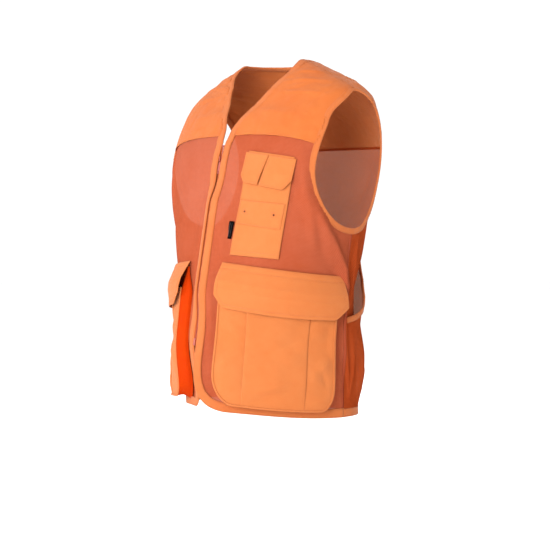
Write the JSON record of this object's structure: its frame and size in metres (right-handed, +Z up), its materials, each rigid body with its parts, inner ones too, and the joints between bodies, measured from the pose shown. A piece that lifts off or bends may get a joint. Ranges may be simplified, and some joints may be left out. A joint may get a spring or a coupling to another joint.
{
  "type": "hunting vest",
  "caption": "Blaze orange hunting vest in its worn shape: mesh body, solid shoulder yokes, V neck, front zipper, flapped bellows pockets, a chest pocket and a back game pouch",
  "frame": {"origin": "the middle of the hem opening, on the wearer's vertical axis at the height of the back hem", "axes": "+Z up along the wearer's spine, -Y to the front, +X to the wearer's left"},
  "size_m": [0.4346, 0.3524, 0.6628],
  "materials": {
    "solid_twill": "matt solid-weave polyester in blaze orange",
    "mesh_netting": "fine see-through knitted mesh",
    "binding_tape": "folded woven binding",
    "zipper_tape": "woven zipper tape",
    "zipper_teeth": "moulded coil",
    "zipper_hardware": "enamelled in the tape's orange, satin",
    "eyelet_thread": "stitched eyelet",
    "hook_and_loop": "hook and loop strip",
    "woven_label": "black woven label, no lettering"
  },
  "bodies": {
    "shell": {"front_yoke_left": "solid_twill", "front_yoke_right": "solid_twill", "back_yoke": "solid_twill", "cargo_gusset_left": "solid_twill", "cargo_gusset_right": "solid_twill", "cargo_pocket_left": "solid_twill", "cargo_pocket_right": "solid_twill", "chest_panel": "solid_twill", "chest_patch": "solid_twill", "front_mesh_left": "mesh_netting", "front_mesh_right": "mesh_netting", "back_mesh": "mesh_netting", "game_pouch": "mesh_netting", "front_band_left": "binding_tape", "front_band_right": "binding_tape", "armhole_binding_left": "binding_tape", "armhole_binding_right": "binding_tape", "neck_binding": "binding_tape", "hem_binding": "binding_tape", "pouch_strap_left": "binding_tape", "pouch_strap_right": "binding_tape", "pouch_binding_left": "binding_tape", "pouch_binding_right": "binding_tape", "zipper_tape_left": "zipper_tape", "zipper_tape_right": "zipper_tape", "zipper_teeth_left": "zipper_teeth", "zipper_teeth_right": "zipper_teeth", "zipper_stop_left": "zipper_hardware", "zipper_stop_right": "zipper_hardware", "zipper_box": "zipper_hardware", "eyelet_front": "eyelet_thread", "eyelet_side": "eyelet_thread", "cargo_loop_left": "hook_and_loop", "cargo_loop_right": "hook_and_loop", "label": "woven_label"},
    "slider": {"zipper_slider": "zipper_hardware"},
    "pull": {"zipper_pull": "zipper_hardware"},
    "cargo_flap_left": {"cargo_flap_left": "solid_twill", "cargo_hook_left": "hook_and_loop"},
    "cargo_flap_right": {"cargo_flap_right": "solid_twill", "cargo_hook_right": "hook_and_loop"},
    "chest_flap_front": {"chest_flap_front": "solid_twill"},
    "chest_flap_side": {"chest_flap_side": "solid_twill"}
  },
  "joints": [
    {"name": "zipper_slide", "type": "slide", "parent": "shell", "child": "slider", "axis": [0, -0.1896, -0.9819], "range_m": [-0.0168, 0.3245]},
    {"name": "pull_swing", "type": "hinge", "parent": "slider", "child": "pull", "pos_m": [0, -0.13428, 0.47795], "axis": [1, 0, 0], "range_deg": [-160, 0]},
    {"name": "cargo_flap_left_lift", "type": "hinge", "parent": "shell", "child": "cargo_flap_left", "pos_m": [0.15338, -0.11627, 0.27623], "axis": [-0.6782, -0.7254, 0.1174], "range_deg": [0, 80]},
    {"name": "cargo_flap_right_lift", "type": "hinge", "parent": "shell", "child": "cargo_flap_right", "pos_m": [-0.15338, -0.11627, 0.27623], "axis": [-0.6782, 0.7254, -0.1174], "range_deg": [0, 80]},
    {"name": "chest_flap_front_lift", "type": "hinge", "parent": "shell", "child": "chest_flap_front", "pos_m": [0.10033, -0.13168, 0.48358], "axis": [-0.9842, -0.1159, 0.1337], "range_deg": [0, 140]},
    {"name": "chest_flap_side_lift", "type": "hinge", "parent": "shell", "child": "chest_flap_side", "pos_m": [0.15523, -0.11915, 0.47541], "axis": [-0.9268, -0.3413, 0.1566], "range_deg": [0, 140]}
  ]
}
